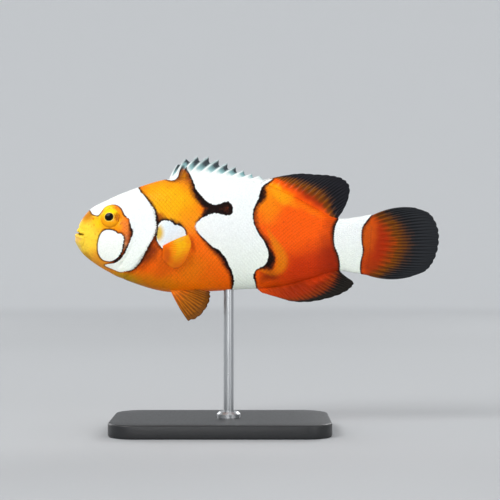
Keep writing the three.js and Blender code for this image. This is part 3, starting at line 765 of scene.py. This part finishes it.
# tones: the ray's order from 0 to 1, how far out the body's colour goes there, and where the margin starts
fins = {
    "dorsal_fin_spiny": {
        "rays": 11, "spines": True, "across": 300, "down": 26, "notch": 0.24, "thick": (0.8, 0.26),
        "lean": 0.35, "rise": 0.62, "flare": 0.2, "spineThick": 0.62,
        "tones": ((0, 0.08, 0.15, 0.22, 0.3, 0.6, 1), (0.3, 0.48, 0.76, 0.52, 0.44, 0.56, 1.0),
                  (0.64, 0.72, 0.9, 0.76, 0.7, 0.8, 1.4)),
        "base": through((20.6, 12.3), (21.5, 12.6), (22.7, 12.8), (24.4, 13.0), (26.5, 13.1), (28.9, 13.0),
                        (31.1, 12.8), (33.2, 12.5), (35.3, 12.2), (37.0, 11.9), (39.6, 11.4)),
        "tip": through((22.4, 16.5), (24.2, 17.8), (26.8, 18.3), (29.2, 18.3), (31.5, 17.7), (33.4, 16.9),
                       (35.2, 16.1), (37.0, 15.3), (38.8, 14.6), (40.5, 14.1), (43.0, 13.6)),
        # "stop" is how much light the margin stops, and "fade" where the margin is full
        "look": {"membrane": "#8CB8BA", "ray": "#F0F8F6", "smoke": "#1A2A32", "smokeRay": "#C4D6D6",
                 "stop": 0.75, "fade": 2.7}},
    "dorsal_fin_soft": {
        "rays": 16, "across": 320, "down": 50, "notch": 0.02, "thick": (0.95, 0.24), "lean": 0.45,
        "rise": 0.6, "split": (0.25, 0.6), "flare": 0.25, "wave": 0.25,
        "tones": ((0, 0.12, 0.25, 0.5, 0.75, 1), (0.95, 0.69, 0.4, 0.27, 0.18, 0.1),
                  (1.15, 0.93, 0.74, 0.58, 0.45, 0.28)),
        "base": onBody(39.9, 57.2, -1.2),
        "tip": through((42.6, 13.5), (45.6, 14.15), (49.4, 14.65), (52.8, 14.45), (56.2, 14.2), (58.8, 13.5),
                       (60.3, 11.9), (60.0, 8.9), (58.7, 6.1)),
        "look": {"membrane": "#6A3402", "ray": "#804804", "smoke": "#0E0E12", "smokeRay": "#202026"}},
    "anal_fin": {
        "rays": 14, "across": 300, "down": 44, "notch": 0.02, "thick": (0.95, 0.24), "lean": 0.45,
        "rise": 0.6, "split": (0.25, 0.6), "flare": 0.25, "wave": -0.2,
        "tones": ((0, 0.12, 0.25, 0.5, 0.75, 1), (1.0, 0.9, 0.77, 0.55, 0.35, 0.13),
                  (1.25, 1.08, 0.97, 0.81, 0.62, 0.34)),
        "base": onBody(39.0, 57.2, 1.3, belly=True),
        "tip": through((41.0, -11.6), (44.4, -12.6), (47.6, -13.5), (51.2, -13.65), (55.0, -13.0),
                       (58.4, -11.9), (60.6, -10.5), (61.2, -9.4), (59.6, -8.1)),
        "look": {"membrane": "#762200", "ray": "#8E3604", "smoke": "#0E0E0C", "smokeRay": "#221E1A"}},
    "tail_fin": {
        "rays": 15, "across": 320, "down": 64, "notch": 0.012, "thick": (1.0, 0.24), "lean": 0.5,
        "rise": 0.5, "bow": 2.0, "split": (0.2, 0.55), "flare": 0.1, "wave": 0.2,
        "tones": ((0, 0.25, 0.5, 0.75, 1), (0.1, 0.27, 0.37, 0.31, 0.14), (0.36, 0.55, 0.65, 0.59, 0.38)),
        "base": through((63.9, 4.7), (62.6, -1.1), (62.5, -7.1)),
        "tip": through((74.8, 7.1), (78.0, 5.8), (79.7, 2.8), (79.93, -0.6), (79.0, -4.2), (77.2, -6.7),
                       (73.8, -8.1)),
        "look": {"membrane": "#5C2C02", "ray": "#764206", "smoke": "#0C0E10", "smokeRay": "#2A2C30"}},
    "pectoral_fin": {  # a paired fin is drawn flat, then rolled, swung out and put at its root
        "root": (19.6, -2.6), "side": 5.5, "swing": 50, "roll": 8,
        "rays": 14, "across": 260, "down": 34, "notch": 0.02, "thick": (0.6, 0.16), "lean": 0.5, "rise": 0.5,
        "bow": 0.4, "split": (0.3, 0.7), "cup": 0.5, "wave": 0.12,
        "tones": ((0, 0.3, 0.55, 1), (0.3, 0.32, 0.36, 0.42), (1.0, 1.0, 0.88, 0.88)),
        "base": through((-0.2, 1.2), (0.0, 0.0), (0.2, -1.3)),
        "tip": through((7.6, 3.8), (8.9, 2.1), (9.1, 0.3), (8.2, -1.6), (6.3, -3.1), (3.9, -3.6)),
        "look": {"membrane": "#F0AE04", "ray": "#FFCA10", "smoke": "#E87404", "smokeRay": "#F4860A",
                 "stop": 0.76, "low": "#D46004"}},  # low: the colour towards the last ray
    "pelvic_fin": {
        "root": (20.8, -10.7), "side": 1.5, "swing": 4, "roll": 16,
        "rays": 7, "across": 180, "down": 34, "notch": 0.03, "thick": (0.8, 0.2), "lean": 0.5, "rise": 0.5,
        "bow": 0.9, "split": (0.2, 0.6), "wave": 0.15, "tones": ((0, 1), (0.08, 0.06), (0.9, 0.8)),
        "base": through((1.9, 0.1), (0.9, 0.1), (0.0, 0.0)),
        "tip": through((8.8, -0.8), (8.8, -2.4), (8.1, -4.4), (6.4, -6.4), (4.3, -7.2)),
        "look": {"membrane": "#8A4804", "ray": "#B0640A", "smoke": "#4A2604", "smokeRay": "#7A4604"}},
}


def rays(u, v, count, split, thin=0.17):
    # ridges of branching rays: 1 on a ray and 0 between two
    x = np.abs((u * (count - 1) + 0.5) % 1 - 0.5)
    first = 0.25 * smooth(split[0], split[1], v)
    second = 0.125 * smooth(split[1], 1.0, v)
    return bell(np.abs(np.abs(x - first)) - second * (first > 0.05), thin * (1 - 0.45 * v))


def tonesAt(fin, u, v):
    # 0 to 1 in the body's colour, 1 to 2 where rays stripe the fin, 2 to 3 in the smoky margin
    order, orange, smoke = fin["tones"]
    o, k = np.interp(u, order, orange), np.interp(u, order, smoke)
    tone = np.where(v < o, v / np.maximum(o, 1e-3), 1 + (v - o) / np.maximum(k - o, 1e-3))
    return np.where(v > k, 2 + (v - k) / np.maximum(1.0 - np.minimum(k, 0.9), 0.1), tone)


def archOf(fin, u):
    # a ray bends from the fin's base over a knee to its tip
    base, tip = fin["base"](u), fin["tip"](u)
    knee = base + (tip - base) * (fin["lean"], fin["rise"])
    knee[:, 1] += fin.get("bow", 0.0) * (1 - 2 * u)
    return base, knee, tip


def onArch(base, knee, tip, r):
    return (1 - r) ** 2 * base + 2 * r * (1 - r) * knee + r ** 2 * tip


def blade(name, fin):
    # a double sheet wrapped round the fin's margin and closed all round, laid between its base and tip lines
    mesh = gridMesh(name, fin["across"], fin["down"] * 2)
    grid = pointsOf(mesh)
    u, w = grid[:, 0], grid[:, 1] * 2 - 1
    v, side = 1 - np.abs(w), np.sign(w)
    f = (u * (fin["rays"] - 1)) % 1
    if fin.get("spines"):
        # the membrane leaves each spine near its tip and meets the next one lower down
        dip = np.where(f < 0.86, smooth(-0.1, 0.86, f), 1 - smooth(0.86, 1.0, f))
        ridge = bell(np.minimum(f, 1 - f), 0.15)
    else:
        dip = 1 - np.abs(np.cos(np.pi * f))
        ridge = rays(u, v, fin["rays"], fin["split"])
    p = onArch(*archOf(fin, u), (v * (1 - fin["notch"] * dip))[:, None])
    # half the thickness: thinner outwards and between rays, flared at the root and nothing at the rim
    thick = fin["thick"][0] + (fin["thick"][1] - fin["thick"][0]) * v ** 0.7
    hollow = 0.42 * smooth(0.1, 0.4, v) * smooth(0, 0.09, u)
    half = 0.5 * thick * (1 - hollow + hollow * ridge) * np.sqrt(np.clip(1 - v ** 8, 0, 1))
    half += fin.get("flare", 0.0) * bell(v - 0.05, 0.12)
    half *= smooth(0, 0.015, u) * smooth(0, 0.015, 1 - u) * smooth(0, 0.02, v)
    sway = fin.get("cup", 0.0) * v ** 2 + fin.get("wave", 0.0) * v * np.sin(2 * np.pi * (1.3 * u + 0.1))
    points = np.stack([p[:, 0], side * half + sway, p[:, 1]], -1)
    return mesh, points, {"order": u, "ray": ridge, "tone": tonesAt(fin, u, v)}


def addSpine(bm, fin, k):
    # one tapered spine with a round section, closed at both ends, its tip standing free of the membrane
    base, knee, tip = (row[0] for row in archOf(fin, np.array([k / (fin["rays"] - 1)])))
    tip = tip + (tip - knee) * 0.1
    mesh = gridMesh("spine", 14, 12)
    grid = pointsOf(mesh)
    s, turn = grid[:, 0], 2 * np.pi * grid[:, 1]
    r = s[:, None]
    p = onArch(base, knee, tip, r)
    d = 2 * (1 - r) * (knee - base) + 2 * r * (tip - knee)
    n = np.stack([-d[:, 1], d[:, 0]], -1) / np.linalg.norm(d, axis=1)[:, None]
    size = 0.5 * fin["spineThick"] * (1 - 0.78 * s) * smooth(0, 0.02, s) * np.sqrt(smooth(0, 0.05, 1 - s))
    flat = p + n * (size * np.cos(turn))[:, None]
    points = np.stack([flat[:, 0], size * np.sin(turn), flat[:, 1]], -1)
    lay(mesh, points, markFields(points) | {"order": s, "ray": s * 0 + 1, "tone": 0.4 + 2.0 * s})
    close(mesh)
    bm.from_mesh(mesh)
    bpy.data.meshes.remove(mesh)


finGrain = 0.9  # blotches of the fins' colour, in millimetres


def finMaterial(name, look):
    # thin skin over bony rays: the rays carry the body's colour outwards, and the margin is smoky
    material, tree = newMaterial(name)
    place, flat, base = bodyColour(tree)
    result = markedColour(tree, base, flat)[0]
    tone, ray = (add(tree, "Attribute", out="Fac", attribute_name=field) for field in ("tone", "ray"))
    grain = add(tree, "TexNoise", {"Vector": place, "Scale": per(finGrain), "Detail": 3.0})
    wobble = add(tree, "Math", (grain, 0.5, tone), operation="MULTIPLY_ADD")
    along = add(tree, "Math", (ray, -0.18, wobble), operation="MULTIPLY_ADD")
    covers = [add(tree, "Mix", {0: ray, 6: colour(look[thin]), 7: colour(look[bony])}, 2, data_type="RGBA")
              for thin, bony in (("membrane", "ray"), ("smoke", "smokeRay"))]
    if "low" in look:
        order = add(tree, "Attribute", out="Fac", attribute_name="order")
        late = add(tree, "MapRange", (order, 0.3, 0.8, 0.0, 0.85))
        covers = [add(tree, "Mix", {0: late, 6: cover, 7: colour(look["low"])}, 2, data_type="RGBA")
                  for cover in covers]
    for cover, start, end in zip(covers, (0.9, 1.6), (1.7, look.get("fade", 2.4))):
        share = add(tree, "MapRange", (along, start, end), interpolation_type="SMOOTHSTEP")
        result = add(tree, "Mix", {0: share, 6: result, 7: cover}, 2, data_type="RGBA")
    bump = add(tree, "Bump", {"Height": grain, "Strength": 0.2, "Distance": 0.05 * mm})
    clear = 1.0
    if "stop" in look:
        clear = add(tree, "MapRange", (along, 0.8, 2.0, 1.0, look["stop"]))
    shader = add(tree, "BsdfPrincipled", {
        "Base Color": result, "Roughness": 0.44, "IOR": 1.35, "Specular IOR Level": 0.13, "Normal": bump,
        "Alpha": clear, "Coat Weight": 0.06, "Coat Roughness": 0.18})
    add(tree, "OutputMaterial", {"Surface": shader})
    return material


for name, fin in fins.items():
    look = finMaterial("wetFinSkin_" + name, fin["look"])
    mesh, points, fields = blade(name, fin)
    if "root" in fin:
        turn = Euler((math.radians(-fin["roll"]), 0, math.radians(-fin["swing"])), "XYZ").to_matrix()
        points = points @ np.array(turn).T + (fin["root"][0], -fin["side"], fin["root"][1])
        none = np.zeros(len(points))
        lay(mesh, points, {"white": none - 3, "dark": none - 9, "scorch": none, "streak": none} | fields)
        close(mesh)
        piece(name + "_left_detail", mesh, look, [name + "_left"])
        piece(name + "_right_detail", mirrored(mesh, name + "_right_detail"), look, [name + "_right"])
        continue
    lay(mesh, points, markFields(points) | fields)
    close(mesh)
    if fin.get("spines"):
        bm = bmesh.new()
        bm.from_mesh(mesh)
        for k in range(fin["rays"] - 1):
            addSpine(bm, fin, k)
        bm.to_mesh(mesh)
        bm.free()
    piece(name + "_detail", mesh, look, [name])

stand = {
    "paint": "#1A1B1D", "steel": "#B8BABC", "around": 64, "sharpFrom": 35,  # degrees
    "peelSize": 0.45,  # of the paint's orange peel
    "lineSize": 0.11,  # of the steel's lines, drawn coarser than real ones so that they show
    "base": {"along": 32.0, "length": 48.0, "width": 29.0, "thick": 3.0, "corner": 6.0, "edge": 0.4,
             "hole": 1.4, "cornerSteps": 24},
    "rod": {"along": 33.7, "radius": 1.1, "low": 1.3, "bury": 3.0, "chamfer": 0.1},
    "collar": {"radius": 2.6, "height": 1.3, "chamfer": 0.5, "gap": 0.12, "lift": 0.02},
}


def standMaterials():
    # satin black powder coat: fine orange-peel, soft highlight
    paint, tree = newMaterial("satinPowderCoat")
    place = add(tree, "TexCoord", out="Object")
    peel = add(tree, "TexNoise", {"Vector": place, "Scale": per(stand["peelSize"]), "Detail": 2.0})
    bump = add(tree, "Bump", {"Height": peel, "Strength": 0.3, "Distance": 0.05 * mm})
    rough = add(tree, "MapRange", (peel, 0.0, 1.0, 0.36, 0.5))
    shader = add(tree, "BsdfPrincipled", {"Base Color": colour(stand["paint"]), "Roughness": rough,
                                          "Normal": bump})
    add(tree, "OutputMaterial", {"Surface": shader})
    # drawn steel: fine bright lines along the rod
    steel, tree = newMaterial("drawnSteel")
    place = add(tree, "TexCoord", out="Object")
    stretched = add(tree, "VectorMath", (place, (1, 1, 0.03)), operation="MULTIPLY")
    lines = add(tree, "TexNoise", {"Vector": stretched, "Scale": per(stand["lineSize"]), "Detail": 2.0})
    rough = add(tree, "MapRange", (lines, 0.0, 1.0, 0.22, 0.4))
    shader = add(tree, "BsdfPrincipled", {"Base Color": colour(stand["steel"]), "Metallic": 1.0,
                                          "Roughness": rough})
    add(tree, "OutputMaterial", {"Surface": shader})
    return paint, steel


def shadeByAngle(mesh, degrees):
    bm = bmesh.new()
    bm.from_mesh(mesh)
    for edge in bm.edges:
        edge.smooth = edge.calc_face_angle(0.0) < math.radians(degrees)
    bm.to_mesh(mesh)
    bm.free()


def baseMesh(base):
    # a plate with round corners and a hole for the rod: one surface from the hole's wall to the underside
    edge, thick, fine = base["edge"], base["thick"], base["cornerSteps"]
    # each row of the loop: share of the way from hole to rim, inset from the rim, height
    loop = [(0, 0, 0.3), (0, 0, thick - 0.2), (0.004, 0, thick), (0.3, 0, thick), (0.7, 0, thick)]
    loop += [(1, edge * (1 - math.sin(a)), thick - edge * (1 - math.cos(a)))
             for a in np.radians((0, 22, 45, 68, 90))]
    loop += [(1, 0, thick * 0.5), (1, 0, edge)]
    loop += [(1, edge * (1 - math.cos(a)), edge * (1 - math.sin(a))) for a in np.radians((30, 60, 90))]
    loop += [(0.75, 0, 0), (0.5, 0, 0), (0.25, 0, 0), (0.01, 0, 0), (0, 0, 0.05), (0, 0, 0.3)]
    around, down = 4 * fine, len(loop) - 1
    mesh = gridMesh("stand_base_detail", around, down)
    k, row = np.round(pointsOf(mesh)[:, :2] * (around, down)).astype(int).T
    k = k % around
    share, inset, height = np.array(loop)[row].T
    quarter = k // fine
    arc = quarter * np.pi / 2 + np.linspace(0, np.pi / 2, fine)[k % fine]
    x = np.array([1, -1, -1, 1])[quarter] * (base["length"] / 2 - base["corner"])
    y = np.array([1, 1, -1, -1])[quarter] * (base["width"] / 2 - base["corner"])
    rim = np.stack([x, y]) + (base["corner"] - inset) * np.stack([np.cos(arc), np.sin(arc)])
    hole = base["hole"] * np.stack([np.cos(arc), np.sin(arc)])
    hole[0] += stand["rod"]["along"] - base["along"]
    flat = hole + (rim - hole) * share
    lay(mesh, np.stack([flat[0] + base["along"], flat[1], height - mouthZ], -1))
    return mesh


def turned(name, profile):
    # a round part of the stand on the rod's line; a profile that starts off that line closes on itself
    profile = [(r * mm, h * mm) for r, h in profile]
    return spun(name, profile, stand["around"], at(stand["rod"]["along"], 0)[0], ringed=profile[0][0] > 0)


def rodMesh(rod):
    low, top = rod["low"], mouthZ + heightOf(rod["along"], True) + rod["bury"]
    wide, slim, cut = rod["radius"], rod["radius"] - rod["chamfer"], rod["chamfer"]
    return turned("stand_rod_detail", [
        (0, low), (slim, low), (wide, low + cut), (wide, top - cut), (slim, top), (0, top)])


def collarMesh(collar):
    low, inner = stand["base"]["thick"] + collar["lift"], stand["rod"]["radius"] + collar["gap"]
    wide, top, cut = collar["radius"], low + collar["height"], collar["chamfer"]
    return turned("stand_collar_detail", [
        (inner, low), (wide, low), (wide, top - cut), (wide - 0.1, top - cut + 0.12),
        (wide - cut, top), (inner, top)])


paint, steel = standMaterials()
parts = {"base": (baseMesh, paint, "stand_paint"), "rod": (rodMesh, steel, "stand_steel"),
         "collar": (collarMesh, steel, "stand_steel")}
for name, (make, material, slot) in parts.items():
    mesh = make(stand[name])
    close(mesh, gap=1e-7)
    shadeByAngle(mesh, stand["sharpFrom"])
    piece("stand_" + name + "_detail", mesh, material, ["stand_" + name])

studio = {  # metres
    "floor": "#B0B2B4", "wall": "#DADCDE", "air": "#F2F4F6", "airLight": 0.53,
    "flat": 0.73, "curve": 0.55, "top": 0.8, "steps": 12, "around": 96,
    "pale": (0.28, 0.72), "glowing": (0.4, 0.76), "glow": 0.17,  # painted light: the paper turns paler and glows faintly out where the wall stands beyond the lights' reach
    "fibreSize": 1.1,  # in millimetres, drawn coarser than real fibres
}


def backdropPaper():
    # matt paper that takes soft shadows and shows no edge: it looks an even pale grey because painted light
    # makes it paler and faintly glowing out on the wall, beyond the lamps' reach
    material, tree = newMaterial("paleBackdropPaper")
    place = add(tree, "TexCoord", out="Object")
    far = add(tree, "VectorMath", (place,), "Value", operation="LENGTH")
    rise, glow = (add(tree, "MapRange", (far, start, end, 0.0, most),
                      interpolation_type="SMOOTHSTEP")
                  for (start, end), most in ((studio["pale"], 1.0), (studio["glowing"], studio["glow"])))
    fibre = add(tree, "TexNoise", {"Vector": place, "Scale": per(studio["fibreSize"]), "Detail": 3.0})
    fibre = add(tree, "MapRange", (fibre, 0.0, 1.0, 0.985, 1.015))
    floor, wall = colour(studio["floor"]), colour(studio["wall"])
    paper = add(tree, "Mix", {0: rise, 6: floor, 7: wall}, 2, data_type="RGBA")
    paper = add(tree, "VectorMath", {0: paper, "Scale": fibre}, operation="SCALE")
    shader = add(tree, "BsdfPrincipled", {"Base Color": paper, "Roughness": 0.9, "Specular IOR Level": 0.2,
                                          "Emission Color": wall, "Emission Strength": glow})
    add(tree, "OutputMaterial", {"Surface": shader})
    return material


def makeStage():
    # a round floor that turns up into a wall all round, so that no horizon shows from any side
    curve = studio["curve"]
    turns = [math.pi / 2 * k / studio["steps"] for k in range(studio["steps"] + 1)]
    profile = [(0.0, 0.0), (0.2, 0.0), (0.4, 0.0)]
    profile += [(studio["flat"] + curve * math.sin(a), curve * (1 - math.cos(a))) for a in turns]
    mesh = spun("floor", profile + [(studio["flat"] + curve, studio["top"])], studio["around"])
    mesh.polygons.foreach_set("use_smooth", np.ones(len(mesh.polygons), bool))
    mesh.materials.append(backdropPaper())
    placed("floor", mesh)
    print("made the stage")


makeStage()

fishAt = Vector((0.0, 0.0, mouthZ * mm))
lamps = {  # place, width in metres, watts, spread in degrees: a narrow one keeps a low lamp off the paper
    "keyFrontLeft": ((-0.42, -0.4, 0.5), 0.28, 2.7, 180),
    "fillFrontRight": ((0.4, -0.45, 0.2), 0.4, 0.38, 120),
    "lowFront": ((-0.08, -0.5, 0.1), 0.16, 0.091, 80),
    "backRight": ((0.3, 0.5, 0.36), 0.36, 0.633, 110),
    "backLeft": ((-0.42, 0.42, 0.22), 0.4, 0.48, 120),
    "overhead": ((0.0, 0.0, 0.75), 0.6, 0.7, 180),
}
for name, (where, size, power, spread) in lamps.items():
    light = bpy.data.lights.new(name, "AREA")
    light.shape = "DISK"
    light.size = size
    light.energy = power
    light.spread = math.radians(spread)
    lamp = placed(name, light)
    lamp.location = where
    lamp.rotation_euler = (fishAt - Vector(where)).to_track_quat("-Z", "Y").to_euler()
    lamp.visible_camera = False

world = bpy.data.worlds.new("studioAir")
bpy.context.scene.world = world
world.use_nodes = True
air = world.node_tree.nodes["Background"].inputs
air[0].default_value = colour(studio["air"])
air[1].default_value = studio["airLight"]
print("lit by", len(lamps), "lamps")

view = {"distance": 0.3056, "x": -0.0016, "z": 0.0398, "lens": 100.0, "sensor": 36.0, "near": 0.01}
cameraData = bpy.data.cameras.new("camera")
cameraData.lens = view["lens"]
cameraData.sensor_width = view["sensor"]
cameraData.clip_start = view["near"]
camera = placed("camera", cameraData)
camera.location = (view["x"], -view["distance"], view["z"])
camera.rotation_euler = (math.pi / 2, 0, 0)
bpy.context.scene.camera = camera
bpy.context.scene.view_settings.view_transform = "Standard"
print("camera is set")
